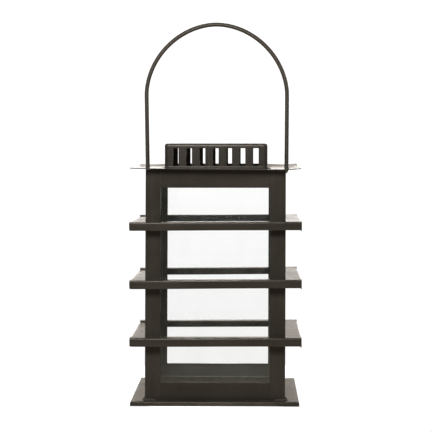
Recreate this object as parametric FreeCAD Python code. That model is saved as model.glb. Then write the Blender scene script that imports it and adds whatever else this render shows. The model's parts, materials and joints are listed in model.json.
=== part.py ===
"""Square steel candle lantern with glazed sides, shelf rings, a lift-up roof and a wire bail.

Millimetres. The origin is at the middle of the base, on the surface that the lantern
stands on. +Z is up, the front is towards -Y and the bail's plane is the XZ plane.
Every piece is written to parts/NAME.step.
"""

import FreeCAD
import Part
import math
import os

Vec = FreeCAD.Vector

# Sheet metal and wire
SHEET = 1.0            # gauge of the frame, shelves, base and chimney
ROOF_SHEET = 0.9       # gauge of the roof plate
WIRE = 4.4             # diameter of the bail wire

# Base pan
BASE = 169.0           # width of the square base pan
BASE_TOP = 4.2         # height of the pan's upper face

# Frame
BODY = 141.2           # outside width of the square frame
BODY_TOP = 236.8       # upper edge of the frame, where the roof rests
POST = 15.6            # face width of an angle post
POST_RADIUS = 1.5      # outside bend radius of a post
WINDOW_BOTTOM = 21.9   # upper edge of the bottom rails
WINDOW_TOP = 218.9     # lower edge of the top rails

# Glazing
GLASS = 2.0            # pane thickness
GLASS_GAP = 0.2        # play between a pane and the metal on each side of it
PANE_WIDTH = 122.0
PANE_BOTTOM = 7.5
PANE_TOP = 228.0
TAB = 0.8              # gauge of the ledges and clips that hold the glass
LEDGE_LENGTH = 104.0
LEDGE_DEPTH = 4.2
CLIP_HEIGHT = 10.0
CLIP_FOOT = 5.4        # width of a clip's foot, welded on the post
CLIP_FINGER = 5.0      # reach of a clip's finger over the pane
CLIP_LEVELS = (9.0, 217.5)

# Shelves
SHELF = 172.5          # outside width of a shelf ring
SHELF_TOPS = {"lower": 68.7, "middle": 126.9, "upper": 185.1}
LIP = 8.3              # drop of a shelf's turned-down lip
RIGHT_LIP = 9.2        # the right-hand lips hang a little lower
LIP_RADIUS = 1.2       # outside bend radius of the lips
LIP_CHAMFER = 1.4      # snipped corner at the left end of a front lip

# Roof
ROOF = 171.0           # width of the roof plate
FLUE = 98.0            # width of the square hole under the chimney
SLOT_INNER = 70.7      # the bail slots run from here ...
SLOT_OUTER = 80.3      # ... to here across the plate
SLOT_LENGTH = 26.0     # and this far from front to back
SLOT_RADIUS = 2.0

# Chimney
CHIMNEY = 104.6        # outside width of the chimney
CHIMNEY_TOP = 263.4
CHIMNEY_RADIUS = 2.5   # outside radius of its edges
FLANGE = 3.2           # width of the flange at its foot
VENTS = 7              # vents in each side
VENT_PITCH = 13.55
VENT_WIDTH = 6.4
VENT_BOTTOM = 241.3
VENT_TOP = 259.1
VENT_RADIUS = 0.8

# Bail
ARCH_RADIUS = 73.9     # centre line of the arch
ARCH_CENTRE = 314.3    # height of the arch's centre
PIVOT = 233.5          # height of the hooked feet, on which the bail swings
FOOT_RADIUS = 2.6      # centre line of the bend above each foot
FOOT_START = 70.7      # where the bend starts, just outside the frame
FOOT_END = 66.6        # inner end of the foot
PIVOT_PLAY = 0.1       # radial play of a foot in its hole

# Weld beads
BEAD = 3.0             # size of the bead at the foot of each post
BEAD_LENGTH = 12.0     # how far a bead runs along each side of its post

# Worked out from the sizes above
WALL = BODY / 2
INSIDE = WALL - SHEET
OPENING = WALL - POST
EDGE = SHELF / 2
ROOF_TOP = BODY_TOP + ROOF_SHEET
SIDES = {"front": 0, "right": 90, "back": 180, "left": 270}
CORNERS = {"front_left": 0, "front_right": 90, "back_right": 180, "back_left": 270}


def box(x0, x1, y0, y1, z0, z1):
    """A block between two corners."""
    return Part.makeBox(x1 - x0, y1 - y0, z1 - z0, Vec(x0, y0, z0))


def square_block(width, z0, z1):
    """A square block centred on the Z axis."""
    half = width / 2
    return box(-half, half, -half, half, z0, z1)


def turned(shape, degrees):
    """A copy of a shape, turned about the Z axis."""
    copy = shape.copy()
    copy.rotate(Vec(0, 0, 0), Vec(0, 0, 1), degrees)
    return copy


def edges_along(shape, axis):
    """The straight edges of a shape that run along one axis."""
    found = []
    for edge in shape.Edges:
        if isinstance(edge.Curve, Part.Line) and abs(edge.Curve.Direction.dot(axis)) > 0.999:
            found.append(edge)
    return found


def angle_section(inner, outer, top, drop, radius):
    """The section of an angle strip in the YZ plane: a flat leg with a turned-down lip.

    The flat leg runs from y = -inner to y = -outer, and the bend is round outside.
    """
    slope = radius * (1 - math.sqrt(0.5))
    bend = Part.Arc(
        Vec(0, radius - outer, top),
        Vec(0, slope - outer, top - slope),
        Vec(0, -outer, top - radius),
    )
    points = [
        Vec(0, -outer, top - radius),
        Vec(0, -outer, top - drop),
        Vec(0, SHEET - outer, top - drop),
        Vec(0, SHEET - outer, top - SHEET),
        Vec(0, -inner, top - SHEET),
        Vec(0, -inner, top),
        Vec(0, radius - outer, top),
    ]
    edges = [bend.toShape()]
    for start, end in zip(points, points[1:]):
        edges.append(Part.LineSegment(start, end).toShape())
    return Part.Face(Part.Wire(edges))


def angle_strip(length, inner, outer, top, drop, radius):
    """A strip of angle section, centred along X on the front side."""
    section = angle_section(inner, outer, top, drop, radius)
    section.translate(Vec(-length / 2, 0, 0))
    return section.extrude(Vec(length, 0, 0))


def base_plate():
    """A shallow pan, upside down: a flat top with a lip all round."""
    half = BASE / 2
    pan = square_block(BASE, 0, BASE_TOP)
    pan = pan.makeFillet(SHEET, edges_along(pan, Vec(0, 0, 1)))
    rim = [edge for edge in pan.Edges if edge.BoundBox.ZMin > BASE_TOP - 0.01]
    pan = pan.makeFillet(SHEET * 0.8, rim)
    hollow = square_block(2 * (half - SHEET), -1, BASE_TOP - SHEET)
    return pan.cut(hollow)


def corner_post():
    """The front left angle post, bent from one strip."""
    corner = -WALL
    post = box(corner, corner + POST, corner, corner + POST, BASE_TOP, BODY_TOP)
    edges = [edge for edge in edges_along(post, Vec(0, 0, 1))
             if edge.BoundBox.XMax < corner + 1 and edge.BoundBox.YMax < corner + 1]
    post = post.makeFillet(POST_RADIUS, edges)
    inner = corner + SHEET
    core = box(inner, corner + POST + 1, inner, corner + POST + 1, BASE_TOP - 1, BODY_TOP + 1)
    edges = [edge for edge in edges_along(core, Vec(0, 0, 1))
             if edge.BoundBox.XMax < inner + 1 and edge.BoundBox.YMax < inner + 1]
    return post.cut(core.makeFillet(POST_RADIUS - SHEET, edges))


def rail(bottom, top):
    """A flat rail of the front side, butted between two posts."""
    return box(-OPENING, OPENING, -WALL, -INSIDE, bottom, top)


def pivot_hole():
    """The bore through both side rails that takes the feet of the bail."""
    radius = WIRE / 2 + PIVOT_PLAY
    return Part.makeCylinder(radius, BODY + 2, Vec(-WALL - 1, 0, PIVOT), Vec(1, 0, 0))


def glass_pane():
    """The front pane, standing just inside the frame."""
    outer = INSIDE - GLASS_GAP
    half = PANE_WIDTH / 2
    return box(-half, half, -outer, GLASS - outer, PANE_BOTTOM, PANE_TOP)


def glass_ledge():
    """A small angle on the front bottom rail, on which the pane stands."""
    half = LEDGE_LENGTH / 2
    shelf = box(-half, half, -INSIDE, LEDGE_DEPTH - INSIDE, PANE_BOTTOM - TAB, PANE_BOTTOM)
    web = box(-half, half, -INSIDE, TAB - INSIDE, BASE_TOP, PANE_BOTTOM - TAB)
    return shelf.fuse(web).removeSplitter()


def glass_clip(side, bottom):
    """A stepped clip: a foot on the post and a finger over one edge of the front pane."""
    top = bottom + CLIP_HEIGHT
    face = -INSIDE
    riser = PANE_WIDTH / 2 + 2 * GLASS_GAP
    reach = GLASS + 2 * GLASS_GAP
    foot = box(riser, riser + CLIP_FOOT, face, face + TAB, bottom, top)
    step = box(riser, riser + TAB, face, face + reach + TAB, bottom, top)
    finger = box(riser - CLIP_FINGER, riser + TAB, face + reach, face + reach + TAB, bottom, top)
    clip = foot.fuse([step, finger]).removeSplitter()
    if side < 0:
        clip = clip.mirror(Vec(0, 0, 0), Vec(1, 0, 0))
    return clip


def glass_clips():
    """The four clips of the front pane."""
    clips = []
    for side in (-1, 1):
        for bottom in CLIP_LEVELS:
            clips.append(glass_clip(side, bottom))
    return Part.makeCompound(clips)


def shelf_long(top):
    """The front or back strip of a shelf, over the full width."""
    return angle_strip(SHELF, WALL, EDGE, top, LIP, LIP_RADIUS)


def shelf_front(top):
    """The front strip, with the lower left corner of its lip snipped off."""
    strip = shelf_long(top)
    corner = Vec(-EDGE, -EDGE - 1, top - LIP)
    snip = Part.makePolygon([
        corner + Vec(-1, 0, -1),
        corner + Vec(LIP_CHAMFER, 0, -1),
        corner + Vec(LIP_CHAMFER, 0, 0),
        corner + Vec(0, 0, LIP_CHAMFER),
        corner + Vec(-1, 0, LIP_CHAMFER),
        corner + Vec(-1, 0, -1),
    ])
    return strip.cut(Part.Face(snip).extrude(Vec(0, 2 + SHEET, 0)))


def shelf_right(top):
    """The right strip: its leg ends at the long strips, its lip runs on under them."""
    length = SHELF - 2 * SHEET
    strip = angle_strip(length, WALL, EDGE, top, RIGHT_LIP, LIP_RADIUS)
    for side in (-1, 1):
        ends = sorted((side * WALL, side * EDGE))
        strip = strip.cut(box(ends[0], ends[1], -EDGE - 1, -WALL + 1, top - SHEET, top + 1))
    return turned(strip, SIDES["right"])


def shelf_left(top):
    """The left strip: one sheet lower, lapped under both long strips."""
    length = SHELF - 2 * SHEET
    strip = angle_strip(length, WALL, EDGE, top - SHEET, LIP - SHEET, LIP_RADIUS)
    return turned(strip, SIDES["left"])


def base_welds():
    """A weld bead round the foot of each post."""
    foot = WALL + BEAD
    high = BASE_TOP + BEAD
    skirt = Part.makeWedge(
        -foot, BASE_TOP, -foot, -WALL, -WALL,
        foot, high, foot, WALL, WALL,
    )
    skirt.rotate(Vec(0, 0, 0), Vec(1, 0, 0), 90)
    skirt = skirt.cut(square_block(BODY, BASE_TOP - 1, high + 1))
    limit = WALL - BEAD_LENGTH
    beads = []
    for degrees in CORNERS.values():
        corner = turned(box(-foot, -limit, -foot, -limit, BASE_TOP, high), degrees)
        beads.append(skirt.common(corner))
    return Part.makeCompound(beads)


def roof_plate():
    """A flat plate with the flue hole and a slot for each leg of the bail."""
    plate = square_block(ROOF, BODY_TOP, ROOF_TOP)
    plate = plate.makeFillet(SHEET, edges_along(plate, Vec(0, 0, 1)))
    plate = plate.cut(square_block(FLUE, BODY_TOP - 1, ROOF_TOP + 1))
    half = SLOT_LENGTH / 2
    slot = box(SLOT_INNER, SLOT_OUTER, -half, half, BODY_TOP - 1, ROOF_TOP + 1)
    slot = slot.makeFillet(SLOT_RADIUS, edges_along(slot, Vec(0, 0, 1)))
    return plate.cut([slot, turned(slot, 180)])


def vent_cutters():
    """One row of rounded vents, cut right through the chimney from front to back."""
    cutters = []
    for number in range(VENTS):
        middle = (number - (VENTS - 1) / 2) * VENT_PITCH
        half = VENT_WIDTH / 2
        cutter = box(middle - half, middle + half, -CHIMNEY, CHIMNEY, VENT_BOTTOM, VENT_TOP)
        cutters.append(cutter.makeFillet(VENT_RADIUS, edges_along(cutter, Vec(0, 1, 0))))
    return cutters


def chimney():
    """A closed cap with vents in its four sides and a flange at its foot."""
    cap = square_block(CHIMNEY, ROOF_TOP, CHIMNEY_TOP)
    cap = cap.makeFillet(CHIMNEY_RADIUS, edges_along(cap, Vec(0, 0, 1)))
    rim = [edge for edge in cap.Edges if edge.BoundBox.ZMin > CHIMNEY_TOP - 0.01]
    cap = cap.makeFillet(CHIMNEY_RADIUS, rim)
    flange = square_block(CHIMNEY + 2 * FLANGE, ROOF_TOP, ROOF_TOP + SHEET)
    flange = flange.makeFillet(CHIMNEY_RADIUS + FLANGE, edges_along(flange, Vec(0, 0, 1)))
    hollow = square_block(CHIMNEY - 2 * SHEET, ROOF_TOP - 1, CHIMNEY_TOP - SHEET)
    hollow = hollow.makeFillet(CHIMNEY_RADIUS - SHEET, edges_along(hollow, Vec(0, 0, 1)))
    rim = [edge for edge in hollow.Edges if edge.BoundBox.ZMin > CHIMNEY_TOP - SHEET - 0.01]
    hollow = hollow.makeFillet(CHIMNEY_RADIUS - SHEET, rim)
    body = cap.fuse(flange).cut(hollow)
    for cutter in vent_cutters():
        body = body.cut([cutter, turned(cutter, 90)])
    return body.removeSplitter()


def bail_path():
    """The bail's centre line: foot, bend, leaning leg, arch, leg, bend and foot.

    A leg is the common tangent of its bend and the arch, which sets its lean.
    """
    bend_height = PIVOT + FOOT_RADIUS
    rise = ARCH_CENTRE - bend_height
    spacing = math.hypot(FOOT_START, rise)
    lean = math.asin((ARCH_RADIUS - FOOT_RADIUS) / spacing) - math.atan2(FOOT_START, rise)

    def on_bend(side, angle):
        x = FOOT_START + FOOT_RADIUS * math.cos(angle)
        return Vec(side * x, 0, bend_height - FOOT_RADIUS * math.sin(angle))

    def on_arch(side, angle):
        x = ARCH_RADIUS * math.cos(angle)
        return Vec(side * x, 0, ARCH_CENTRE + ARCH_RADIUS * math.sin(angle))

    legs = {}
    for side in (-1, 1):
        foot_end = Vec(side * FOOT_END, 0, PIVOT)
        bend_start = on_bend(side, math.pi / 2)
        bend_middle = on_bend(side, (math.pi / 2 + lean) / 2)
        bend_end = on_bend(side, lean)
        legs[side] = [
            Part.LineSegment(foot_end, bend_start).toShape(),
            Part.Arc(bend_start, bend_middle, bend_end).toShape(),
            Part.LineSegment(bend_end, on_arch(side, -lean)).toShape(),
        ]
    crown = Vec(0, 0, ARCH_CENTRE + ARCH_RADIUS)
    arch = Part.Arc(on_arch(-1, -lean), crown, on_arch(1, -lean)).toShape()
    return Part.Wire(legs[-1] + [arch] + legs[1][::-1])


def bail():
    """The bail, one bent wire whose feet hook into the side rails."""
    path = bail_path()
    circle = Part.Circle(Vec(-FOOT_END, 0, PIVOT), Vec(1, 0, 0), WIRE / 2)
    return path.makePipeShell([Part.Wire(circle.toShape())], True, True)


def all_pieces():
    """Every piece by name."""
    pieces = {"base_plate": base_plate(), "base_welds": base_welds()}
    for corner, degrees in CORNERS.items():
        pieces["corner_post_" + corner] = turned(corner_post(), degrees)
    for side, degrees in SIDES.items():
        bottom_rail = turned(rail(BASE_TOP, WINDOW_BOTTOM), degrees)
        top_rail = turned(rail(WINDOW_TOP, BODY_TOP), degrees)
        if side in ("left", "right"):
            top_rail = top_rail.cut(pivot_hole())
        pieces["bottom_rail_" + side] = bottom_rail
        pieces["top_rail_" + side] = top_rail
        pieces["glass_pane_" + side] = turned(glass_pane(), degrees)
        pieces["glass_ledge_" + side] = turned(glass_ledge(), degrees)
        pieces["glass_clips_" + side] = turned(glass_clips(), degrees)
    for level, top in SHELF_TOPS.items():
        pieces[level + "_shelf_front"] = shelf_front(top)
        pieces[level + "_shelf_back"] = turned(shelf_long(top), SIDES["back"])
        pieces[level + "_shelf_right"] = shelf_right(top)
        pieces[level + "_shelf_left"] = shelf_left(top)
    pieces["roof_plate"] = roof_plate()
    pieces["chimney"] = chimney()
    pieces["bail_handle"] = bail()
    return pieces


def main():
    os.makedirs("parts", exist_ok=True)
    for name, shape in all_pieces().items():
        shape.exportStep(os.path.join("parts", name + ".step"))
        print(f"{name}: {len(shape.Solids)} solids, {shape.Volume:.1f} mm3, valid {shape.isValid()}")


if __name__ == "__main__":
    main()
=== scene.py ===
"""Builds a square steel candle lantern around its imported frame.

Sizes inside the functions are in millimetres, and the finished meshes are in metres. The origin is
at the middle of the base, +Z is up and the front is towards -Y.
"""

import json
import math

import bmesh
import bpy
import numpy as np
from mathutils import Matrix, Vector

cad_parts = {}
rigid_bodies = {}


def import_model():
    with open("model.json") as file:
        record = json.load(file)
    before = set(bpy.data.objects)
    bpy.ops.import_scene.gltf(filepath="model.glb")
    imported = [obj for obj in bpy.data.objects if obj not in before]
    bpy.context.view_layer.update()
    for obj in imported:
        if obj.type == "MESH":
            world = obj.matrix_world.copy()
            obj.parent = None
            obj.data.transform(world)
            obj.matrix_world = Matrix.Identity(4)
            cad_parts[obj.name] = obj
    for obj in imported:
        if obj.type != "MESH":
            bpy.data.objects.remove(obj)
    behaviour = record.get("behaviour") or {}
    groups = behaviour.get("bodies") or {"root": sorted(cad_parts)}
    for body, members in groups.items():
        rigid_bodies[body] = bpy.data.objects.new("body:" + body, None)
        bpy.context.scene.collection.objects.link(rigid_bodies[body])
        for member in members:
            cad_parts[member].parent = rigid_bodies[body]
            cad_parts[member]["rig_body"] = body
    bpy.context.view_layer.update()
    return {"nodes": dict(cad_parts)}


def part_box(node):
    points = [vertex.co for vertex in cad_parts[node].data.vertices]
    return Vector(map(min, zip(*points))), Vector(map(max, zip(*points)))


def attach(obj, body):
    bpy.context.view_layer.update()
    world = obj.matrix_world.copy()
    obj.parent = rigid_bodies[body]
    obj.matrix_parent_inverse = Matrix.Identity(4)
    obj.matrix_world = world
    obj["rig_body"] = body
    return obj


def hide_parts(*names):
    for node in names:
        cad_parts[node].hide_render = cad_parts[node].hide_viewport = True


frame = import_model()

bl_info = {
    "name": "Candle Lantern",
    "version": (1, 0, 0),
    "blender": (4, 5, 0),
    "location": "3D View > Sidebar > Lantern",
    "description": "Builds a square steel candle lantern around its packed frame",
    "category": "Add Mesh",
}

MM = 0.001
SIDES = {"front": 0, "right": 90, "back": 180, "left": 270}
CORNERS = {"front_left": 0, "front_right": 90, "back_right": 180, "back_left": 270}
LEVELS = ("lower", "middle", "upper")


def box_mm(node):
    """The lowest and highest corner of a CAD node, in millimetres."""
    low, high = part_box(node)
    return np.array(low) / MM, np.array(high) / MM


RAIL_LOW, RAIL_HIGH = box_mm("bottom_rail_front")
WALL = -RAIL_LOW[1]                      # outside of the frame, from its middle
SHEET = RAIL_HIGH[1] - RAIL_LOW[1]       # gauge of the frame's sheet
FRAME_TOP = box_mm("top_rail_front")[1][2]
BAIL_LOW, BAIL_HIGH = box_mm("bail_handle")
WIRE = BAIL_HIGH[1] - BAIL_LOW[1]        # diameter of the bail's wire
PIVOT = BAIL_LOW[2] + WIRE / 2           # height of the bail's feet


def sizes_mm(name):
    """One of the small sizes, in millimetres."""
    return getattr(bpy.context.scene.lantern_sizes, name) / MM


# ---------------------------------------------------------------- sizes and finishes

class LanternSizes(bpy.types.PropertyGroup):
    """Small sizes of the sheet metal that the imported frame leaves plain."""

    post_bend: bpy.props.FloatProperty(
        name="Post bend", description="Outside bend radius of a corner post",
        default=1.15 * MM, min=0.0011, max=0.004, unit="LENGTH", precision=4)
    lip_bend: bpy.props.FloatProperty(
        name="Lip bend", description="Outside bend radius of a shelf lip",
        default=1.2 * MM, min=0.0011, max=0.004, unit="LENGTH", precision=4)
    eased_edge: bpy.props.FloatProperty(
        name="Eased edge", description="Width of the worn rounding on every sheet edge",
        default=0.16 * MM, min=0.00005, max=0.0004, unit="LENGTH", precision=5)
    snipped_corner: bpy.props.FloatProperty(
        name="Snipped corner", description="Size of the snip at the left end of a front lip",
        default=1.4 * MM, min=0.0, max=0.004, unit="LENGTH", precision=4)
    lean: bpy.props.FloatProperty(
        name="Lean", description="How far the foot of the frame stands left of its top",
        default=0.9 * MM, min=0.0, max=0.003, unit="LENGTH", precision=4)
    spread: bpy.props.FloatProperty(
        name="Spread", description="How far each side of the frame splays out at its foot",
        default=0.5 * MM, min=0.0, max=0.001, unit="LENGTH", precision=4)
    roof_curl: bpy.props.FloatProperty(
        name="Roof curl", description="How far the ends of the roof sheet curl upwards",
        default=1.9 * MM, min=0.0, max=0.005, unit="LENGTH", precision=4)
    roof_pitch: bpy.props.FloatProperty(
        name="Roof pitch", description="How far the roof rides up over the back rail",
        default=0.8 * MM, min=0.0, max=0.003, unit="LENGTH", precision=4)
    roof_lift_at_back: bpy.props.FloatProperty(
        name="Roof lift at the back", description="How far the back edge of the roof is bowed up",
        default=2.0 * MM, min=0.0, max=0.006, unit="LENGTH", precision=4)
    bail_lean: bpy.props.FloatProperty(
        name="Bail lean", description="How far the arch of the bail leans left",
        default=0.6 * MM, min=0.0, max=0.003, unit="LENGTH", precision=4)
    bail_squeeze: bpy.props.FloatProperty(
        name="Bail squeeze", description="How far the arch of the bail is pressed in and down",
        default=0.9 * MM, min=0.0, max=0.003, unit="LENGTH", precision=4)


class LanternFinish(bpy.types.PropertyGroup):
    """Colours of the paint and of the glass."""

    paint_colour: bpy.props.FloatVectorProperty(
        name="Paint", description="Colour of the satin paint", subtype="COLOR",
        default=(0.031, 0.0277, 0.0232), min=0.0, max=1.0)
    paint_sheen: bpy.props.FloatVectorProperty(
        name="Paint sheen", description="Tint of what the paint reflects", subtype="COLOR",
        default=(1.0, 0.89, 0.79), min=0.0, max=1.0)
    paint_roughness: bpy.props.FloatProperty(
        name="Paint roughness", description="0 is a mirror and 1 is fully matt",
        default=0.22, min=0.05, max=1.0, subtype="FACTOR")
    steel_colour: bpy.props.FloatVectorProperty(
        name="Bare steel", description="Colour where the paint has rubbed thin on an edge",
        subtype="COLOR", default=(0.09, 0.078, 0.066), min=0.0, max=1.0)
    glass_tint: bpy.props.FloatVectorProperty(
        name="Glass tint", description="Colour that one face of a pane lets through",
        subtype="COLOR", default=(0.996, 0.998, 0.996), min=0.0, max=1.0)
    glass_edge: bpy.props.FloatVectorProperty(
        name="Glass edge", description="Colour of a pane's ground edge", subtype="COLOR",
        default=(0.19, 0.27, 0.23), min=0.0, max=1.0)


class LanternStudio(bpy.types.PropertyGroup):
    """The floor, the light and the camera."""

    floor_colour: bpy.props.FloatVectorProperty(
        name="Floor", description="Colour of the pale floor", subtype="COLOR",
        default=(0.9, 0.9, 0.9), min=0.0, max=1.0)
    backdrop: bpy.props.FloatProperty(
        name="Backdrop", description="Brightness of the backdrop as the camera sees it",
        default=1.17, min=0.0, max=3.0)
    walls: bpy.props.FloatProperty(
        name="Walls", description="Brightness of the studio walls as the lantern sees them",
        default=1.0, min=0.0, max=3.0)
    overhead_power: bpy.props.FloatProperty(
        name="Overhead light", description="Power of the overhead softbox in watts",
        default=10.0, min=0.0, max=500.0)
    front_power: bpy.props.FloatProperty(
        name="Front light", description="Power of the softbox above the camera in watts",
        default=6.0, min=0.0, max=500.0)
    fill_power: bpy.props.FloatProperty(
        name="Fill lights", description="Power of each softbox at the sides and back in watts",
        default=8.0, min=0.0, max=500.0)
    lens: bpy.props.FloatProperty(
        name="Lens", description="Focal length of the camera in millimetres",
        default=134.0, min=10.0, max=400.0)


# ---------------------------------------------------------------- shader maths

class Value:
    """A node's output on which shader maths is written as Python expressions."""

    def __init__(self, tree, output):
        self.tree = tree
        self.output = output

    def maths(self, operation, first, second, clamp=False):
        """One Math node."""
        settings = {"operation": operation, "use_clamp": clamp}
        return add_node(self.tree, "ShaderNodeMath", {0: first, 1: second}, settings)

    def __add__(self, other):
        return self.maths("ADD", self, other)

    __radd__ = __add__

    def __sub__(self, other):
        return self.maths("SUBTRACT", self, other)

    def __rsub__(self, other):
        return self.maths("SUBTRACT", other, self)

    def __mul__(self, other):
        return self.maths("MULTIPLY", self, other)

    __rmul__ = __mul__

    def __truediv__(self, other):
        return self.maths("DIVIDE", self, other)

    def __rtruediv__(self, other):
        return self.maths("DIVIDE", other, self)

    def __pow__(self, other):
        return self.maths("POWER", self, other)

    def clamped(self):
        """The value held between 0 and 1."""
        return self.maths("ADD", self, 0.0, clamp=True)


def add_node(tree, kind, sockets=None, settings=None, output=0):
    """Adds a node, sets its settings and then its sockets, and returns one of its outputs."""
    made = tree.nodes.new(kind)
    for name, value in (settings or {}).items():
        setattr(made, name, value)
    for name, value in (sockets or {}).items():
        if isinstance(value, Value):
            tree.links.new(value.output, made.inputs[name])
        else:
            made.inputs[name].default_value = value
    return None if output is None else Value(tree, made.outputs[output])


def noise(tree, place, scale, detail=2.0, roughness=0.5):
    """Noise between about 0.3 and 0.7 that varies over 1 / scale metres."""
    sockets = {"Vector": place, "Scale": scale, "Detail": detail, "Roughness": roughness}
    return add_node(tree, "ShaderNodeTexNoise", sockets)


def object_place(tree, stretch=(1.0, 1.0, 1.0)):
    """Object coordinates, stretched to give streaks along the axes with small factors."""
    place = add_node(tree, "ShaderNodeTexCoord", output="Object")
    return add_node(tree, "ShaderNodeMapping", {"Vector": place, "Scale": stretch})


def colour_mix(tree, factor, first, second):
    """A blend of two colours."""
    sockets = {0: factor, 6: first, 7: second}
    return add_node(tree, "ShaderNodeMix", sockets, {"data_type": "RGBA"}, output=2)


def rgba(colour, scale=1.0):
    """A colour with four numbers, scaled and clipped."""
    return tuple(min(1.0, part * scale) for part in colour) + (1.0,)


def bump(tree, height, distance):
    """A bump whose height of 1 stands for the distance in metres."""
    sockets = {"Height": height, "Strength": 1.0, "Distance": distance}
    return add_node(tree, "ShaderNodeBump", sockets)


def finish_settings():
    """The colours and the roughness that the user has set."""
    return bpy.context.scene.lantern_finish


# ---------------------------------------------------------------- materials

def paint(tree, shade=1.0, stretch=(1.0, 1.0, 1.0), rougher=0.0, mottle=1.0):
    """Satin paint on rolled sheet: mottled, faintly streaked, with orange peel and slow waves.

    The colour runs between two shades by slow, streaked and fine noise, the roughness follows
    the first two, and the bump's height is peel and streaks plus slow waves. The mottle scales
    all three. The shade scales the colour of each piece: lighter and darker copies of one paint,
    painted light and shade for how brightly each piece is lit.
    """
    finish = finish_settings()
    even = object_place(tree)
    streaks = object_place(tree, stretch)
    slow = noise(tree, even, 21.0, 3.0)
    fine = noise(tree, even, 620.0, 2.0)
    streak = noise(tree, streaks, 160.0, 3.0, 0.6)
    patchy = (slow - 0.5) * 1.3 + (streak - 0.5) * 0.9 + (fine - 0.5) * 0.6
    tone = (patchy * mottle + 0.5).clamped()
    dark = rgba(finish.paint_colour, 0.72 * shade)
    light = rgba(finish.paint_colour, 1.28 * shade)
    varied = ((slow - 0.5) * 0.14 + (streak - 0.5) * 0.12) * mottle
    rough = varied + (finish.paint_roughness + rougher)
    height = (fine * 0.35 + streak * 0.35 + noise(tree, even, 34.0, 1.0) * 6.0) * mottle
    return add_node(tree, "ShaderNodeBsdfPrincipled", {
        "Base Color": colour_mix(tree, tone, dark, light),
        "Roughness": rough.clamped(),
        "IOR": 1.32,
        "Specular Tint": rgba(finish.paint_sheen),
        "Normal": bump(tree, height, 0.00002),
    })


def worn_edge(tree):
    """Paint rubbed thin along the edges: patches of dull steel show through by noise."""
    finish = finish_settings()
    place = object_place(tree)
    patches = (noise(tree, place, 90.0, 4.0, 0.65) - 0.57) * 9.0
    bare = (patches.clamped() * (noise(tree, place, 900.0, 2.0) * 1.4)).clamped()
    painted = rgba(finish.paint_colour, 0.9)
    return add_node(tree, "ShaderNodeBsdfPrincipled", {
        "Base Color": colour_mix(tree, bare, painted, rgba(finish.steel_colour)),
        "Roughness": 0.42 + bare * 0.1,
        "Metallic": bare * 0.5,
        "IOR": 1.32,
        "Specular Tint": rgba(finish.paint_sheen),
    })


def weld_paint(tree):
    """Paint over a weld bead: the same paint, thicker, with coarse pits, a duller shine and
    painted shade.
    """
    finish = finish_settings()
    place = object_place(tree)
    pits = noise(tree, place, 1300.0, 3.0, 0.6)
    lumps = noise(tree, place, 380.0, 2.0)
    tone = ((pits + lumps) * 0.8 - 0.3).clamped()
    # Darker than the rest of the paint: painted shade in the crease at each post's foot; the pits
    # and lumps vary the tone by noise.
    dark, light = rgba(finish.paint_colour, 0.3), rgba(finish.paint_colour, 0.8)
    return add_node(tree, "ShaderNodeBsdfPrincipled", {
        "Base Color": colour_mix(tree, tone, dark, light),
        "Roughness": 0.38 + pits * 0.3,
        "Specular Tint": rgba(finish.paint_sheen),
        "Normal": bump(tree, pits * 0.5 + lumps, 0.0002),
    })


def pane_face(tree):
    """Clear window glass: see-through, a mirror by Fresnel's law, with a thin film of dust.

    Only faces that look towards the eye mirror, so a pane seen from either side mirrors once.
    """
    finish = finish_settings()
    place = object_place(tree)
    smear = noise(tree, object_place(tree, (1.0, 1.0, 0.35)), 38.0, 5.0, 0.62)
    specks = noise(tree, place, 1100.0, 1.0)
    dust = ((smear - 0.46) * 0.05).clamped() + ((specks - 0.68) * 0.3).clamped()
    film = add_node(tree, "ShaderNodeBsdfPrincipled",
                    {"Base Color": (0.62, 0.68, 0.64, 1.0), "Roughness": 0.6})
    clear = add_node(tree, "ShaderNodeBsdfTransparent", {"Color": rgba(finish.glass_tint)})
    dusty = add_node(tree, "ShaderNodeMixShader", {0: dust + 0.002, 1: clear, 2: film})
    mirror = add_node(tree, "ShaderNodeBsdfAnisotropic",
                      {"Color": (0.93, 1.0, 0.98, 1.0), "Roughness": 0.02})
    fresnel = add_node(tree, "ShaderNodeFresnel", {"IOR": 1.5})
    front = 1.0 - add_node(tree, "ShaderNodeNewGeometry", output="Backfacing")
    both_faces = (fresnel * 1.9).clamped() * front
    return add_node(tree, "ShaderNodeMixShader", {0: both_faces, 1: dusty, 2: mirror})


def pane_edge(tree):
    """The ground edge of a pane: frosted, sea green and half see-through."""
    finish = finish_settings()
    grind = noise(tree, object_place(tree), 800.0, 3.0)
    tone = colour_mix(tree, grind, rgba(finish.glass_edge, 0.7), rgba(finish.glass_edge, 1.5))
    frost = add_node(tree, "ShaderNodeBsdfPrincipled",
                     {"Base Color": tone, "Roughness": 0.25 + grind * 0.2, "IOR": 1.5})
    clear = add_node(tree, "ShaderNodeBsdfTransparent", {"Color": (0.55, 0.68, 0.61, 1.0)})
    return add_node(tree, "ShaderNodeMixShader", {0: 0.6, 1: clear, 2: frost})


def floor_finish(tree):
    """A pale studio floor with a trace of grain."""
    studio = bpy.context.scene.lantern_studio
    grain = noise(tree, object_place(tree), 60.0, 3.0)
    tone = colour_mix(tree, grain, rgba(studio.floor_colour, 0.985), rgba(studio.floor_colour))
    return add_node(tree, "ShaderNodeBsdfPrincipled", {
        "Base Color": tone, "Roughness": 0.62 + grain * 0.1, "Specular IOR Level": 0.2,
        "Emission Color": (1.0, 1.0, 1.0, 1.0), "Emission Strength": 0.78})


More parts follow.
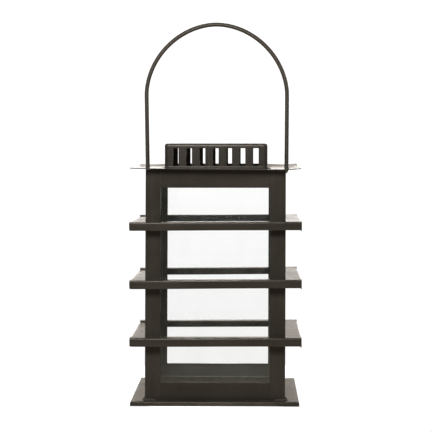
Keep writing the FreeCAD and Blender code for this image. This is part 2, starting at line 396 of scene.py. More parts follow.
MATERIALS = {
    # The number after tree scales the paint's colour per piece: lighter and darker copies of one
    # paint, painted light and shade for how brightly each piece is lit (the chimney darkest, the
    # wire lightest).
    "frame_paint": lambda tree: paint(tree, 1.0, (1.0, 1.0, 0.06)),
    "rail_paint": lambda tree: paint(tree, 0.9, (0.06, 0.06, 1.0)),
    "shelf_paint": lambda tree: paint(tree, 1.02, (0.05, 0.05, 1.0), -0.01, 0.85),
    "base_paint": lambda tree: paint(tree, 1.05, (0.3, 0.3, 1.0)),
    "inner_tab_paint": lambda tree: paint(tree, 0.9, rougher=0.06),
    "roof_paint": lambda tree: paint(tree, 1.05, (0.2, 0.2, 1.0), -0.04, 0.5),
    "chimney_paint": lambda tree: paint(tree, 0.66, (1.0, 1.0, 0.2), 0.06, 0.6),
    "wire_paint": lambda tree: paint(tree, 1.2, rougher=0.15, mottle=0.3),
    "weld_paint": weld_paint,
    "worn_edge": worn_edge,
    "pane_glass": pane_face,
    "pane_edge": pane_edge,
    "studio_floor": floor_finish,
}


def material_named(name):
    """The finished material of that name, made the first time it is asked for."""
    full_name = "lantern_" + name
    material = bpy.data.materials.get(full_name)
    if material is None:
        material = bpy.data.materials.new(full_name)
        material.use_nodes = True
        tree = material.node_tree
        tree.nodes.clear()
        surface = MATERIALS[name](tree)
        add_node(tree, "ShaderNodeOutputMaterial", {"Surface": surface}, output=None)
    return material


# ---------------------------------------------------------------- shapes

def turned(points, degrees):
    """Points turned about the Z axis: x' = x cos a - y sin a and y' = x sin a + y cos a."""
    cosine, sine = math.cos(math.radians(degrees)), math.sin(math.radians(degrees))
    return points @ np.array([[cosine, sine, 0.0], [-sine, cosine, 0.0], [0.0, 0.0, 1.0]])


def steps(start, end, longest):
    """Evenly spaced numbers from start to end, no further apart than longest."""
    return np.linspace(start, end, max(1, math.ceil(abs(end - start) / longest)) + 1)


def along(*marks, longest=6.0):
    """Numbers through all the marks in order, no further apart than longest."""
    parts = [steps(start, end, longest)[:-1] for start, end in zip(marks, marks[1:])]
    return np.concatenate(parts + [np.array(marks[-1:], float)])


def bent(corners, radius, turns=5, longest=6.0):
    """A path through corners in a plane, each inner corner rounded to an arc.

    With n the inward normal, d the direction before the corner and a the turn there, the arc
    starts r tan(a / 2) before the corner and its points are centre - r n cos t + r d sin t,
    for t from 0 to a.
    """
    corners = [np.array(corner, float) for corner in corners]
    pieces, last = [], corners[0]
    for before, corner, after in zip(corners, corners[1:], corners[2:]):
        ahead = (corner - before) / np.linalg.norm(corner - before)
        beyond = (after - corner) / np.linalg.norm(after - corner)
        turn = math.acos(float(np.clip(ahead @ beyond, -1.0, 1.0)))
        side = beyond - ahead * (ahead @ beyond)
        side = side / np.linalg.norm(side)
        start = corner - ahead * radius * math.tan(turn / 2)
        share = steps(0.0, 1.0, longest / max(np.linalg.norm(start - last), 1e-6))[:-1, None]
        pieces.append(last + (start - last) * share)
        angle = np.linspace(0.0, turn, turns + 1)[:, None]
        arc = start + radius * (side * (1 - np.cos(angle)) + ahead * np.sin(angle))
        pieces.append(arc[:-1])
        last = arc[-1]
    share = steps(0.0, 1.0, longest / np.linalg.norm(corners[-1] - last))[:, None]
    pieces.append(last + (corners[-1] - last) * share)
    return np.concatenate(pieces)


def strip(path, stations, plane):
    """A bent strip: a path in one plane carried straight along the third axis.

    plane names the path's two axes; the third runs over the stations. The result is a grid of
    stations x path points.
    """
    grid = np.zeros((len(stations), len(path), 3))
    grid[..., plane[0]] = path[None, :, 0]
    grid[..., plane[1]] = path[None, :, 1]
    grid[..., 3 - sum(plane)] = np.asarray(stations)[:, None]
    return grid


def eased(share):
    """The eased step s(t) = t^2 (3 - 2t), with t held at 0 and 1."""
    share = np.clip(share, 0.0, 1.0)
    return share * share * (3 - 2 * share)


def flat_patch(across, up):
    """A plane grid of points (u, v, 0) over two lists of coordinates."""
    u, v = np.meshgrid(across, up)
    return np.stack([u, v, np.zeros_like(u)], axis=-1)


def hole_lines(outer, hole, radius, turns=3, longest=5.0):
    """Coordinates across a panel with a hole: fine over each corner, coarser between them."""
    low, high = hole[0] + radius, hole[1] - radius
    return np.concatenate([np.linspace(outer[0], low, turns + 1)[:-1],
                           steps(low, high, longest)[:-1],
                           np.linspace(high, outer[1], turns + 1)])


def holed_patch(across, up, radius, turns=3, rings=3):
    """A panel with a rounded rectangular hole, as rings from the panel's edge to the hole's.

    across and up are (panel low, panel high, hole low, hole high). Ring k is the blend
    (1 - t) edge + t hole with t = k / rings, and the hole's corners are quarter circles.
    """
    us = hole_lines(across[:2], across[2:], radius, turns)
    vs = hole_lines(up[:2], up[2:], radius, turns)
    mid_u, mid_v = us[turns:-turns], vs[turns:-turns]
    lows = np.array([across[2], up[2]]) + radius
    highs = np.array([across[3], up[3]]) - radius

    def line(u, v):
        return np.stack(np.broadcast_arrays(u, v), axis=-1)

    def corner(u, v, start):
        turn = np.linspace(0.0, math.pi / 2, 2 * turns + 1) + start
        return line(u + radius * np.cos(turn), v + radius * np.sin(turn))[:-1]

    edge = np.concatenate([line(us, up[0])[:-1], line(across[1], vs)[:-1],
                           line(us, up[1])[:0:-1], line(across[0], vs)[:0:-1]])
    edge = np.roll(edge, turns, axis=0)
    hole = np.concatenate([
        corner(lows[0], lows[1], math.pi), line(mid_u, up[2])[:-1],
        corner(highs[0], lows[1], 1.5 * math.pi), line(across[3], mid_v)[:-1],
        corner(highs[0], highs[1], 0.0), line(mid_u, up[3])[:0:-1],
        corner(lows[0], highs[1], 0.5 * math.pi), line(across[2], mid_v)[:0:-1],
    ])
    edge, hole = np.vstack([edge, edge[:1]]), np.vstack([hole, hole[:1]])
    share = np.linspace(0.0, 1.0, rings + 1)[:, None, None]
    plane = edge * (1 - share) + hole * share
    return np.concatenate([plane, np.zeros(plane.shape[:2] + (1,))], axis=-1)


def square_ring(side, place, angle, scale, radius, height, core):
    """Points of a square ring with rounded corners.

    On side k, with outward normal n and tangent t, a point is scale (place t + core n) plus
    radius (cos angle n + sin angle t), at the given height; k turns it by 90 degrees each.
    """
    tangent = place * scale + radius * np.sin(angle)
    outward = core * scale + radius * np.cos(angle)
    turn = side * (math.pi / 2)
    x = tangent * np.cos(turn) + outward * np.sin(turn)
    y = tangent * np.sin(turn) - outward * np.cos(turn)
    return np.stack(np.broadcast_arrays(x, y, height), axis=-1)


def ring_columns(places, core, turns):
    """Side, place and angle of each column round a square ring, with the first one repeated."""
    side, place, angle = [], [], []
    bend = np.linspace(0.0, math.pi / 2, turns + 1)[1:-1]
    for number in range(4):
        side.append(np.full(len(places) + len(bend), float(number)))
        place.append(np.concatenate([places, np.full(len(bend), core)]))
        angle.append(np.concatenate([np.zeros(len(places)), bend]))
    side.append(np.zeros(1))
    place.append(places[:1])
    angle.append(np.zeros(1))
    return [np.concatenate(part)[None, :] for part in (side, place, angle)]


def quads(index):
    """Four-sided faces between the rows and columns of a grid of point numbers."""
    corners = [index[:-1, :-1], index[:-1, 1:], index[1:, 1:], index[1:, :-1]]
    return np.stack(corners, axis=-1).reshape(-1, 4)


def stitched(patches):
    """Points and four-sided faces of several grids, each rows x columns x 3."""
    points, faces, start = [], [], 0
    for patch in patches:
        rows, columns = patch.shape[:2]
        faces.append(quads(start + np.arange(rows * columns).reshape(rows, columns)))
        points.append(patch.reshape(-1, 3))
        start += rows * columns
    return np.concatenate(points), np.concatenate(faces)


def capped(grid):
    """A closed tube from a grid of rings, each of whose first point isn't repeated."""
    rings, around = grid.shape[:2]
    index = np.arange(rings * around).reshape(rings, around)
    faces = quads(np.hstack([index, index[:, :1]])).tolist()
    return grid.reshape(-1, 3), faces + [index[0][::-1].tolist(), index[-1].tolist()]


def leant(points):
    """Points of the frame below its top, drawn left and splayed.

    x' = x + (1 - z / top) (spread x / wall - lean).
    """
    share = 1 - np.clip(points[:, 2] / FRAME_TOP, 0, 1)
    shift = share * (sizes_mm("spread") * points[:, 0] / WALL - sizes_mm("lean"))
    return points + np.outer(shift, [1.0, 0.0, 0.0])


def pitched(points):
    """Points of the roof sheet, raised behind: z' = z + pitch (y + wall) / (2 wall)."""
    share = np.clip((points[:, 1] + WALL) / (2 * WALL), 0, 1.1)
    return points + np.outer(share, [0.0, 0.0, sizes_mm("roof_pitch")])


def new_object(name, points, faces, materials):
    """An object in the scene from points in millimetres and faces, with its seams merged."""
    mesh = bpy.data.meshes.new(name)
    mesh.from_pydata((points * MM).tolist(), [],
                     faces if isinstance(faces, list) else faces.tolist())
    shell = bmesh.new()
    shell.from_mesh(mesh)
    bmesh.ops.remove_doubles(shell, verts=shell.verts, dist=0.002 * MM)
    shell.to_mesh(mesh)
    shell.free()
    for material in materials:
        mesh.materials.append(material_named(material))
    made = bpy.data.objects.new(name, mesh)
    bpy.context.scene.collection.objects.link(made)
    return made


def make_piece(name, shape, nodes, materials, slot, gauge=0.0, ease=None):
    """Turns points and faces into a piece that stands for its CAD nodes and rides their body.

    The frame leans and the roof sheet is pitched, but the shelves stay put. A sheet gets its
    gauge on the inner side, and its edges are eased in the second material.
    """
    points, faces = shape
    body = frame["nodes"][nodes[0]]["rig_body"]
    if body == "frame" and slot != "shelf_paint":
        points = leant(points)
    if name == "roof_sheet":
        points = pitched(points)
    piece = new_object(name, points, faces, materials)
    piece.data.shade_smooth()
    piece.data.set_sharp_from_angle(angle=math.radians(40))
    if gauge:
        wall = piece.modifiers.new("Gauge", "SOLIDIFY")
        wall.thickness = gauge * MM
        wall.offset = -1.0
        wall.use_even_offset = True
        if materials[-1] == "pane_edge":
            wall.material_offset_rim = 1
        edge = piece.modifiers.new("Eased edges", "BEVEL")
        edge.width = ease * MM if ease else bpy.context.scene.lantern_sizes.eased_edge
        edge.segments = 2
        edge.limit_method = "ANGLE"
        edge.angle_limit = math.radians(50)
        edge.harden_normals = True
        edge.material = 1 if len(materials) > 1 else -1
    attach(piece, body)
    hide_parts(*nodes)
    return piece


# ---------------------------------------------------------------- frame

class LANTERN_OT_posts(bpy.types.Operator):
    """Four corner posts, each bent from one strip"""

    bl_idname = "lantern.posts"
    bl_label = "Corner Posts"

    def execute(self, context):
        low, high = box_mm("corner_post_front_left")
        face = high[0]
        path = bent([(-WALL, face), (-WALL, -WALL), (face, -WALL)], sizes_mm("post_bend"))
        grid = strip(path, along(low[2], high[2], longest=8.0), (0, 1))
        for corner, degrees in CORNERS.items():
            make_piece("post_" + corner, stitched([turned(grid, degrees)]),
                       ["corner_post_" + corner], ["frame_paint", "worn_edge"],
                       "frame_paint", SHEET)
        return {"FINISHED"}


class LANTERN_OT_rails(bpy.types.Operator):
    """Eight rails between the posts, the upper side ones bored for the bail"""

    bl_idname = "lantern.rails"
    bl_label = "Rails"

    def execute(self, context):
        for end in ("bottom", "top"):
            for side, degrees in SIDES.items():
                node = f"{end}_rail_{side}"
                low, high = box_mm(f"{end}_rail_front")
                if end == "top" and side in ("left", "right"):
                    patches = self.bored(low, high)
                else:
                    patches = [flat_patch(along(low[0], high[0]), along(low[2], high[2]))]
                patches = [turned(patch[..., [0, 2, 1]] + [0, -WALL, 0], degrees)
                           for patch in patches]
                make_piece(f"rail_{end}_{side}", stitched(patches), [node],
                           ["rail_paint", "worn_edge"], "frame_paint", SHEET)
        return {"FINISHED"}

    def bored(self, low, high):
        """Patches of a rail with a round hole for the bail's foot: a hole that is all corners."""
        clearance, margin, turns = 0.1, 8.0, 4
        radius = WIRE / 2 + clearance
        corner = radius - 0.001
        hole = (-radius, radius, PIVOT - radius, PIVOT + radius)
        block = (-margin, margin, PIVOT - margin, high[2])
        us = hole_lines(block[:2], hole[:2], corner, turns)
        vs = hole_lines(block[2:], hole[2:], corner, turns)
        return [
            holed_patch(block[:2] + hole[:2], block[2:] + hole[2:], corner, turns),
            flat_patch(along(low[0], block[0]), vs),
            flat_patch(along(block[1], high[0]), vs),
            flat_patch(along(low[0], block[0]), along(low[2], block[2])),
            flat_patch(us, along(low[2], block[2])),
            flat_patch(along(block[1], high[0]), along(low[2], block[2])),
        ]


class LANTERN_OT_base(bpy.types.Operator):
    """The base pan: a flat top with a lip all round"""

    bl_idname = "lantern.base"
    bl_label = "Base Pan"

    def execute(self, context):
        low, high = box_mm("base_plate")
        radius, bend, edge = 1.0, 0.8, 1.5
        core = high[0] - radius
        side, place, angle = ring_columns(along(-core, core), core, 4)
        arc = np.linspace(0.0, math.pi / 2, 6)
        inward = np.linspace(1.0, 0.0, 15)
        lip = [low[2] + 0.01, low[2] + edge]
        scale = np.concatenate([np.ones(len(lip) + len(arc)), inward])
        corner = np.concatenate([[radius, radius], radius - bend + bend * np.cos(arc),
                                 (radius - bend) * inward])
        height = np.concatenate([lip, high[2] - bend + bend * np.sin(arc),
                                 np.full(len(inward), high[2])])
        grid = square_ring(side, place, angle, scale[:, None], corner[:, None],
                           height[:, None], core)
        make_piece("base_pan", stitched([grid]), ["base_plate"],
                   ["base_paint", "worn_edge"], "base_paint", SHEET)
        return {"FINISHED"}


class LANTERN_OT_welds(bpy.types.Operator):
    """The weld beads at the foot of each post"""

    bl_idname = "lantern.welds"
    bl_label = "Weld Beads"

    def execute(self, context):
        low, high = box_mm("base_welds")
        run = 11.5
        path = bent([(-WALL, run - WALL), (-WALL, -WALL), (run - WALL, -WALL)],
                    sizes_mm("post_bend"), turns=6, longest=0.28)
        grid = self.bead(path, low[2], high[2] - low[2])
        points, faces = capped(grid[:, ::-1])
        all_points, all_faces = [], []
        for number, degrees in enumerate(CORNERS.values()):
            all_points.append(turned(points, degrees))
            shift = number * len(points)
            all_faces += [[index + shift for index in face] for face in faces]
        make_piece("post_welds", (np.concatenate(all_points), all_faces), ["base_welds"],
                   ["weld_paint"], "weld_paint")
        return {"FINISHED"}

    def bead(self, path, foot, size):
        """A rippled fillet along a path: height size h, with h = size e (1 + ripple).

        The section bulges between a chamfer and a quarter circle: a point at angle p lies
        h / (cos p ^ 1.4 + sin p ^ 1.4) ^ (1 / 1.4) from the seam. e falls from 0.75 to 0.1 at
        both ends, and a slow wander is added to the ripple.
        """
        bulge, ripple_pitch, sunk = 1.4, 1.25, 0.3
        step = np.gradient(path, axis=0)
        step /= np.linalg.norm(step, axis=1)[:, None]
        outward = np.stack([step[:, 1], -step[:, 0]], axis=1)
        length = np.concatenate([[0.0], np.cumsum(np.linalg.norm(np.diff(path, axis=0), axis=1))])
        share = length / length[-1] * 2 - 1
        ends = 0.1 + 0.65 * np.sqrt(1 - np.abs(share) ** 10)
        angle = np.linspace(0.0, math.pi / 2, 11)
        lean = 0.9 * np.sin(angle)
        ripple = 0.07 * np.sin((length[:, None] + lean[None, :]) * (2 * math.pi / ripple_pitch))
        wander = 0.05 * np.sin(length * 0.83 + 1.2)
        reach = size * ends[:, None] * (1 + ripple + wander[:, None])
        reach = reach / (np.cos(angle) ** bulge + np.sin(angle) ** bulge) ** (1 / bulge)
        out, up = reach * np.cos(angle), reach * np.sin(angle)
        inner = np.full((len(path), 1), -sunk)
        out, up = np.hstack([out, inner, inner]), np.hstack([up, up[:, -1:], inner])
        grid = np.zeros(out.shape + (3,))
        grid[..., :2] = path[:, None, :] + outward[:, None, :] * out[..., None]
        grid[..., 2] = foot + up
        return grid


# ---------------------------------------------------------------- shelves

class LANTERN_OT_shelves(bpy.types.Operator):
    """Three shelf rings, each of four strips with a turned-down lip"""

    bl_idname = "lantern.shelves"
    bl_label = "Shelf Rings"

    tilts = {"lower": 0.0028, "middle": 0.0068, "upper": 0.0044}
    snipped = 5                              # length of the lip's end that the snip draws in

    def execute(self, context):
        for level in LEVELS:
            for side in SIDES:
                self.strip(level, side)
        return {"FINISHED"}

    def strip(self, level, side):
        """One strip: a flat leg from the frame outwards, a bend and a lip.

        Its ring tilts by z + tilt x, and each strip bows by a slow sine of less than 0.2 mm.
        """
        node = f"{level}_shelf_{side}"
        low, high = box_mm(node)
        room_for_bow = 0.04
        reach = np.abs([low[:2], high[:2]]).max() - room_for_bow
        half = high[1] if side in ("left", "right") else high[0]
        bottom, top = low[2], high[2]
        path = bent([(-WALL, top), (-reach, top), (-reach, bottom)], sizes_mm("lip_bend"))
        if side == "right":
            patches = [strip(path, along(-WALL, WALL), (1, 2))]
            lip = path[path[:, 1] < top - sizes_mm("lip_bend") + 0.001]
            for start, end in ((-half, -WALL), (WALL, half)):
                patches.append(strip(lip, along(start, end), (1, 2)))
        else:
            patches = [strip(path, along(-half, self.snipped - half, half), (1, 2))]
        if side == "front":
            self.snip(patches[0], half, bottom)
        number = list(SIDES).index(side) + 4 * LEVELS.index(level)
        for index, patch in enumerate(patches):
            bow = 0.12 * np.sin(patch[..., 0] / half * 2.6 + number * 1.7)
            patch[..., 2] += bow * np.clip((-patch[..., 1] - WALL) / (reach - WALL), 0, 1) ** 2
            patch = turned(patch, SIDES[side])
            patch[..., 2] += self.tilts[level] * patch[..., 0]
            patches[index] = patch
        make_piece(f"shelf_{level}_{side}", stitched(patches), [node],
                   ["shelf_paint", "worn_edge"], "shelf_paint", SHEET)

    def snip(self, patch, half, bottom):
        """Draws the lip's end in below a slanting line, which snips its lower corner off."""
        size = sizes_mm("snipped_corner")
        inset = np.clip(size - (patch[..., 2] - bottom), 0, size)
        share = np.clip((self.snipped - half - patch[..., 0]) / self.snipped, 0, 1)
        patch[..., 0] += inset * share


# ---------------------------------------------------------------- roof, chimney and bail

class LANTERN_OT_roof(bpy.types.Operator):
    """The roof sheet, with its flue hole and a slot for each leg of the bail"""

    bl_idname = "lantern.roof"
    bl_label = "Roof Sheet"

    def execute(self, context):
        low, high = box_mm("roof_plate")
        half, top = high[0], high[2]
        flue, corner, slot_radius = 49.0, 1.0, 2.0
        slot = (69.9, 80.3, -13.0, 13.0)     # the hole: left, right, front and back
        cell = (66.0, 84.2, -17.5, 17.5)     # the patch of sheet that the hole is cut in
        across = hole_lines(cell[:2], slot[:2], slot_radius)
        deep = hole_lines(cell[2:], slot[2:], slot_radius)
        rim = np.linspace(cell[1], half, 5)
        columns = {"left rim": -rim[::-1], "left": -across[::-1],
                   "left wing": along(-cell[0], -flue, longest=4.0),
                   "middle": along(-flue, flue, longest=5.0),
                   "right wing": along(flue, cell[0], longest=4.0), "right": across,
                   "right rim": rim}
        rows = {"front": np.concatenate([-rim[::-1], along(-cell[1], -flue, longest=4.0)[1:]]),
                "front wing": along(-flue, cell[2], longest=4.0), "slot": deep,
                "back wing": along(cell[3], flue, longest=4.0),
                "back": np.concatenate([along(flue, cell[1], longest=4.0), rim[1:]])}
        patches = []
        for row, ys in rows.items():
            for column, xs in columns.items():
                hole = column == "middle" and row in ("front wing", "slot", "back wing")
                if not hole and not (row == "slot" and column in ("left", "right")):
                    patches.append(flat_patch(xs, ys))
        right = holed_patch(cell[:2] + slot[:2], cell[2:] + slot[2:], slot_radius)
        patches += [right, turned(right, 180)]
        for patch in patches:
            self.round_corners(patch, half, corner)
            patch[..., 2] = top + self.curl(patch[..., 0], patch[..., 1], half)
        make_piece("roof_sheet", stitched(patches), ["roof_plate"],
                   ["roof_paint", "worn_edge"], "roof_paint", high[2] - low[2], 0.1)
        return {"FINISHED"}

    def round_corners(self, patch, half, radius):
        """Draws each corner square of side radius in to a quarter circle.

        A point p from the square's inner corner goes to p max(|px|, |py|) / |p|.
        """
        inner = half - radius
        over = np.maximum(np.abs(patch[..., :2]) - inner, 0.0)
        length = np.linalg.norm(over, axis=-1)
        scale = np.where(length > 0, over.max(axis=-1) / np.maximum(length, 1e-9), 1.0)
        kept = np.minimum(np.abs(patch[..., :2]), inner) + over * scale[..., None]
        patch[..., :2] = np.sign(patch[..., :2]) * kept

    def curl(self, x, y, half):
        """Height over the flat plate: both ends, the back edge and the front left corner rise.

        With s the eased step: ends s((|x| - 66) / (half - 58)) times the curl and 0.83 at the
        right or 0.40 at the left; back s((y - 38) / 53) times its lift and 1.25 - 0.65
        s((-x - 50) / 35) - 0.45 s((x - 50) / 30); corner 1.1 (1/2 - x / 2w) (1/2 - y / 2w),
        each held at 0 and 1, with w the wall; and on the back half a wave of
        0.16 sin(x / 19 + 0.6) s((y - 55) / 30).
        """
        right_end, left_end, corner_rise = 0.828, 0.4025, 1.1
        ends = eased((np.abs(x) - 66) / (half - 58)) * np.where(x > 0, right_end, left_end)
        back = eased((y - 38) / 53)
        back = back * (1.25 - 0.65 * eased((-x - 50) / 35) - 0.45 * eased((x - 50) / 30))
        wave = 0.16 * np.sin(x / 19.0 + 0.6) * eased((y - 55) / 30)
        front = np.clip(0.5 - x / (2 * WALL), 0, 1) * np.clip(0.5 - y / (2 * WALL), 0, 1)
        return (ends * sizes_mm("roof_curl") + back * sizes_mm("roof_lift_at_back")
                + front * corner_rise + wave)


class LANTERN_OT_chimney(bpy.types.Operator):
    """The chimney cap, with seven vents in each side and a flared foot"""

    bl_idname = "lantern.chimney"
    bl_label = "Chimney"

    vents, pitch, width, aside, vent_radius = 7, 13.55, 5.7, 0.35, 0.35
    vent_heights = (241.3, 259.1)
    band = (240.3, 260.3)                    # the part of the wall that holds the vents
    out_of_level, level_at, edge_strip = 0.4, 0.4, 0.9

    def execute(self, context):
        low, high = box_mm("chimney")
        radius, flange, flare, dish = 2.5, 3.2, 1.1, 0.35
        core = high[0] - flange - radius
        foot = low[2] + SHEET
        reach = (self.vents / 2) * self.pitch
        turns = 4
        side, place, angle = ring_columns(self.places(core, reach), core, turns)

        def rings(scale, corner, height):
            return square_ring(side, place, angle, scale[:, None], corner[:, None],
                               height[:, None], core)

        sweep = np.linspace(0.0, math.pi / 2, 6)
        out = np.concatenate([[radius + flange, radius + flare],
                              radius + flare * (1 - np.sin(sweep[1:])), [radius]])
        up = np.concatenate([[foot, foot], foot + flare * (1 - np.cos(sweep[1:])),
                             [self.band[0]]])
        skirt = rings(np.ones(len(out)), out, up)
        inward = np.linspace(1.0, 0.0, 12)[1:]
        scale = np.concatenate([np.ones(len(sweep) + 1), inward])
        out = np.concatenate([[radius], radius * np.cos(sweep), np.zeros(len(inward))])
        up = np.concatenate([[self.band[1]], high[2] - radius * (1 - np.sin(sweep)),
                             high[2] - dish * np.sin(inward * math.pi)])
        crown = rings(scale, out, up)
        patches = [skirt, crown] + self.sides(core, radius, reach, turns)
        make_piece("chimney_cap", stitched(patches), ["chimney"],
                   ["chimney_paint", "worn_edge"], "chimney_paint", SHEET)
        return {"FINISHED"}

    def cell(self, number):
        """The panel and hole limits of one vent across and up."""
        middle = (number - (self.vents - 1) / 2) * self.pitch
        across = (middle - self.pitch / 2, middle + self.pitch / 2,
                  middle - self.aside - self.width / 2, middle - self.aside + self.width / 2)
        return across, self.band + self.vent_heights

    def places(self, core, reach):
        """Column places along one side, matching the vents' panels."""
        lines = [np.array([-core])]
        for number in range(self.vents):
            across = self.cell(number)[0]
            lines.append(hole_lines(across[:2], across[2:], self.vent_radius)[:-1])
        lines.append(np.array([reach, core]))
        return np.concatenate(lines)

    def sides(self, core, radius, reach, turns):
        """The band of wall that holds the vents, with its plain corners.

        The vents are punched out of level: z' = z + 0.4 (y / core - 0.4) away from its edges.
        """
        up = hole_lines(self.band, self.vent_heights, self.vent_radius)
        bend = np.linspace(0.0, math.pi / 2, turns + 1)
        patches = []
        for number in range(4):
            for vent in range(self.vents):
                panel = holed_patch(*self.cell(vent), self.vent_radius)
                patches.append(square_ring(number, panel[..., 0], 0.0, 1.0, radius,
                                           panel[..., 1], core))
            place = np.concatenate([[reach], np.full(turns + 1, core)])
            angle = np.concatenate([[0.0], bend])
            patches.append(square_ring(number, place[None, :], angle[None, :], 1.0, radius,
                                       up[:, None], core))
            place = np.array([-core, -reach])
            patches.append(square_ring(number, place[None, :], 0.0, 1.0, radius,
                                       up[:, None], core))
        for patch in patches:
            edge = np.minimum(patch[..., 2] - self.band[0], self.band[1] - patch[..., 2])
            drop = self.out_of_level * (patch[..., 1] / core - self.level_at)
            patch[..., 2] += drop * np.clip(edge / self.edge_strip, 0, 1)
        return patches


class LANTERN_OT_bail(bpy.types.Operator):
    """The bail, one bent wire with both feet hooked into the side rails"""

    bl_idname = "lantern.bail"
    bl_label = "Bail"

    def execute(self, context):
        centre = self.centre_line()
        step = np.gradient(centre, axis=0)
        step /= np.linalg.norm(step, axis=1)[:, None]
        side = np.stack([step[:, 2], np.zeros(len(step)), -step[:, 0]], axis=1)
        ease = np.array([0.62, 0.88, 1.0])
        radius = np.full(len(centre), WIRE / 2)
        radius[:3] *= ease
        radius[-3:] *= ease[::-1]
        angle = np.linspace(0.0, 2 * math.pi, 28, endpoint=False)[None, :, None]
        ring = side[:, None, :] * np.cos(angle) + np.array([0.0, 1.0, 0.0]) * np.sin(angle)
        grid = centre[:, None, :] + radius[:, None, None] * ring
        make_piece("bail_wire", capped(grid), ["bail_handle"], ["wire_paint"], "wire_paint")
        return {"FINISHED"}

    def centre_line(self):
        """Foot, bend, leaning leg, arch, leg, bend and foot, in the XZ plane.

        A leg is the common tangent of its bend and the arch. With R and r their radii, the
        lean is asin((R - r) / d) less the angle between the centres' line and the vertical.
        The arch is (R cos^1.05 t, R sin^1.05 t), with the sine's sign kept, squeezed in and
        down, and the whole line leans left: x' = x - lean (z - feet) / (top - feet).
        """
        arch = BAIL_HIGH[0] - WIRE / 2 - sizes_mm("bail_squeeze") / 2
        arch_height = BAIL_HIGH[2] - BAIL_HIGH[0] - sizes_mm("bail_squeeze") / 2
        bend, start, end, flatness = 2.6, WALL - 0.5, WALL - 4.0, 1.05
        bend_height = PIVOT + bend
        rise = arch_height - bend_height
        lean = math.asin((arch - bend) / math.hypot(start, rise)) - math.atan2(start, rise)
        foot = np.concatenate([[0.0, 0.25, 0.6], along(1.4, start - end, longest=1.2)[:-1]])
        foot = np.stack([end + foot, np.full(len(foot), PIVOT)], axis=1)
        turn = np.linspace(math.pi / 2, lean, 12)
        elbow = np.stack([start + bend * np.cos(turn), bend_height - bend * np.sin(turn)], 1)
        over = np.linspace(-lean, math.pi / 2, 49)
        sine = np.sign(over) * np.abs(np.sin(over)) ** flatness
        dome = np.stack([arch * np.cos(over) ** flatness, arch_height + arch * sine], axis=1)
        share = np.linspace(0.0, 1.0, 18)[1:-1, None]
        leg = elbow[-1] + (dome[0] - elbow[-1]) * share
        right = np.concatenate([foot, elbow, leg, dome])
        left = right[:-1] * [-1.0, 1.0]
        line = np.concatenate([left, right[::-1]])
        share = (line[:, 1] - PIVOT) / (BAIL_HIGH[2] - PIVOT)
        return np.stack([line[:, 0] - sizes_mm("bail_lean") * share, np.zeros(len(line)),
                         line[:, 1]], axis=1)


# ---------------------------------------------------------------- glazing

class LANTERN_OT_glazing(bpy.types.Operator):
    """The four panes with the ledges and clips that hold them"""

    bl_idname = "lantern.glazing"
    bl_label = "Glazing"

    def execute(self, context):
        low, high = box_mm("glass_pane_front")
        pane = flat_patch(along(low[0], high[0], longest=20.0),
                          along(low[2], high[2], longest=20.0))[..., [0, 2, 1]]
        pane = pane + [0, low[1], 0]
        ledge, gauge = self.ledge()
        parts = {
            "pane": ([pane], ["pane_glass", "pane_edge"], high[1] - low[1], 0.3),
            "ledge": ([ledge], ["inner_tab_paint", "worn_edge"], gauge, 0.12),
            "clips": (self.clips(gauge), ["inner_tab_paint", "worn_edge"], gauge, 0.12),
        }
        for side, degrees in SIDES.items():
            for part, (grids, materials, thickness, ease) in parts.items():
                make_piece(f"{part}_{side}", stitched([turned(grid, degrees) for grid in grids]),
                           [f"glass_{part}_{side}"], materials, materials[0], thickness, ease)
        return {"FINISHED"}

    def ledge(self):
        """A small angle: a web on the rail with a flat top that the pane stands on."""
        low, high = box_mm("glass_ledge_front")
        under_top = 2.5
        gauge = high[2] - low[2] - under_top
        path = bent([(high[1], high[2]), (low[1], high[2]), (low[1], low[2])], 0.9, longest=2)
        return strip(path, along(low[0], high[0]), (1, 2)), gauge

    def clips(self, gauge):
        """Four stepped clips: a foot on the post, a riser and a finger over the pane."""
        low, high = box_mm("glass_clips_front")
        foot, length, height = 5.4, 10.4, 10.0
        riser, finger = high[0] - foot + gauge, high[0] - length
        path = bent([(high[0], low[1] + gauge), (riser, low[1] + gauge),
                     (riser, high[1]), (finger, high[1])], 0.6, turns=4, longest=2)
        made = []
        for bottom in (low[2], high[2] - height):
            clip = strip(path, along(bottom, bottom + height, longest=2.5), (0, 1))
            made += [clip, clip[::-1] * [-1, 1, 1]]
        return made


# ---------------------------------------------------------------- studio

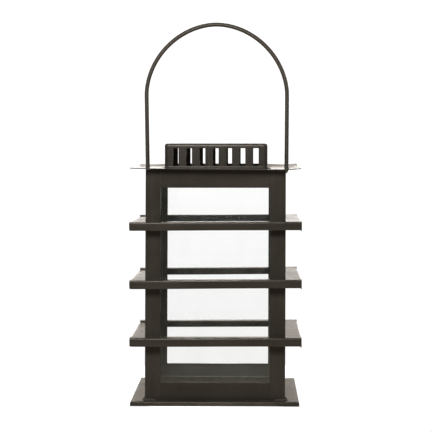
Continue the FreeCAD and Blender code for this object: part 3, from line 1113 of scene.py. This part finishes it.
class LANTERN_OT_studio(bpy.types.Operator):
    """The pale floor, the soft lights and the camera"""

    bl_idname = "lantern.studio"
    bl_label = "Studio"

    def execute(self, context):
        studio = context.scene.lantern_studio
        self.floor()
        self.walls(studio)
        self.softbox("overhead", (0.0, 0.1, 1.7), (0.0, 0.1, 0.0), 2.4, studio.overhead_power)
        self.softbox("front", (-0.05, -0.8, 0.52), (0.0, 0.0, 0.17), 0.22, studio.front_power)
        for name, place in (("left", (-1.2, 0.1, 0.75)), ("right", (1.2, 0.1, 0.75)),
                            ("back", (0.0, 0.9, 1.3))):
            self.softbox(name, place, (0.0, 0.0, 0.17), 0.5, studio.fill_power)
        self.camera(studio)
        return {"FINISHED"}

    def floor(self):
        """A round table top, set back a little: rings of points r (sin a, cos a)."""
        edge, set_back = 165.0, 65.0
        radius = edge * np.linspace(0.0, 1.0, 24)[:, None]
        angle = np.linspace(0.0, 2 * math.pi, 73)[None, :]
        rings = (radius * np.sin(angle), set_back + radius * np.cos(angle), 0.0)
        points, faces = stitched([np.stack(np.broadcast_arrays(*rings), axis=-1)])
        floor = new_object("studio_floor", points, faces, ["studio_floor"])

    def walls(self, studio):
        """A dim room with a bright band low behind the lantern, which the camera sees as white.

        With the direction (x, y, z) and s = z^2 / 0.0012, the brightness is walls (0.1 + 0.6 t
        + ((1 + y) / 2)^8 (6 / (1 + s) + 0.3 / (1 + 0.05 s))), where t = 25 (-0.115 - z) held at
        0 and 1 is the glow below the table's edge. It turns from white to cream by s / 12. The
        camera sees the backdrop's own brightness, a sixth less where z falls to -1/6.
        """
        band_width, table_edge, glow, falloff = 0.0012, -0.115, 0.6, 1 / 6
        world = bpy.data.worlds.new("Studio")
        bpy.context.scene.world = world
        world.use_nodes = True
        tree = world.node_tree
        tree.nodes.clear()
        place = add_node(tree, "ShaderNodeTexCoord", output="Generated")
        y = add_node(tree, "ShaderNodeSeparateXYZ", {0: place}, output=1)
        z = Value(tree, y.output.node.outputs[2])
        steep = z * z / band_width
        band = 6.0 / (steep + 1) + 0.3 / (steep * 0.05 + 1)
        table = ((table_edge - z) * 25.0).clamped() * glow
        light = ((y * 0.5 + 0.5) ** 8.0 * band + table + 0.1) * studio.walls
        seen = add_node(tree, "ShaderNodeLightPath", output="Is Camera Ray")
        shade = ((z / falloff + 1.0).clamped() - 1.0) * falloff
        strength = light * (1 - seen) + seen * (shade + studio.backdrop)
        warmth = ((steep / 12.0).clamped() * (1 - seen)).clamped()
        cream = colour_mix(tree, warmth, (1.0, 1.0, 1.0, 1.0), (1.0, 0.84, 0.7, 1.0))
        shader = add_node(tree, "ShaderNodeBackground", {"Color": cream, "Strength": strength})
        add_node(tree, "ShaderNodeOutputWorld", {"Surface": shader}, output=None)

    def softbox(self, name, place, target, size, power):
        """A square softbox aimed at a point."""
        lamp = bpy.data.lights.new(name, "AREA")
        lamp.shape = "SQUARE"
        lamp.size = size
        lamp.energy = power
        lamp.color = (1.0, 0.99, 0.97)
        box = bpy.data.objects.new(name, lamp)
        box.location = place
        box.rotation_mode = "QUATERNION"
        box.rotation_quaternion = (Vector(target) - Vector(place)).to_track_quat("-Z", "Y")
        bpy.context.scene.collection.objects.link(box)

    def camera(self, studio):
        """A long lens a little to the right of the middle, at the height of the roof."""
        lens = bpy.data.cameras.new("camera")
        lens.lens = studio.lens
        lens.sensor_width = 36.0
        lens.clip_start, lens.clip_end = 0.05, 100.0
        place = Vector((0.0326, -1.686, 0.2673))
        camera = bpy.data.objects.new("camera", lens)
        camera.location = place
        camera.rotation_mode = "QUATERNION"
        camera.rotation_quaternion = Vector((-0.02, 1.0, -0.0475)).to_track_quat("-Z", "Y")
        bpy.context.scene.collection.objects.link(camera)
        bpy.context.scene.camera = camera
        bpy.context.scene.view_settings.view_transform = "Standard"


# ---------------------------------------------------------------- add-on

class LANTERN_PT_panel(bpy.types.Panel):
    """Lists the lantern's operators in the sidebar"""

    bl_idname = "LANTERN_PT_panel"
    bl_label = "Candle Lantern"
    bl_space_type = "VIEW_3D"
    bl_region_type = "UI"
    bl_category = "Lantern"

    def draw(self, context):
        for group in ("lantern_sizes", "lantern_finish", "lantern_studio"):
            settings = getattr(context.scene, group)
            for name in settings.bl_rna.properties.keys():
                if name not in ("rna_type", "name"):
                    self.layout.prop(settings, name)
        for operator in OPERATORS:
            self.layout.operator(operator.bl_idname)


GROUPS = {"lantern_sizes": LanternSizes, "lantern_finish": LanternFinish,
          "lantern_studio": LanternStudio}
OPERATORS = (LANTERN_OT_posts, LANTERN_OT_rails, LANTERN_OT_base, LANTERN_OT_welds,
             LANTERN_OT_shelves, LANTERN_OT_roof, LANTERN_OT_chimney, LANTERN_OT_bail,
             LANTERN_OT_glazing, LANTERN_OT_studio)


def register():
    """Registers the classes and adds the settings to the scene."""
    for group in GROUPS.values():
        bpy.utils.register_class(group)
    for operator in OPERATORS:
        bpy.utils.register_class(operator)
    bpy.utils.register_class(LANTERN_PT_panel)
    for name, group in GROUPS.items():
        setattr(bpy.types.Scene, name, bpy.props.PointerProperty(type=group))


def unregister():
    """Takes the settings and the classes away again."""
    for name in GROUPS:
        delattr(bpy.types.Scene, name)
    bpy.utils.unregister_class(LANTERN_PT_panel)
    for operator in reversed(OPERATORS):
        bpy.utils.unregister_class(operator)
    for group in reversed(GROUPS.values()):
        bpy.utils.unregister_class(group)


def main():
    register()
    for operator in OPERATORS:
        family, name = operator.bl_idname.split(".")
        getattr(getattr(bpy.ops, family), name)()


if __name__ == "__main__":
    main()
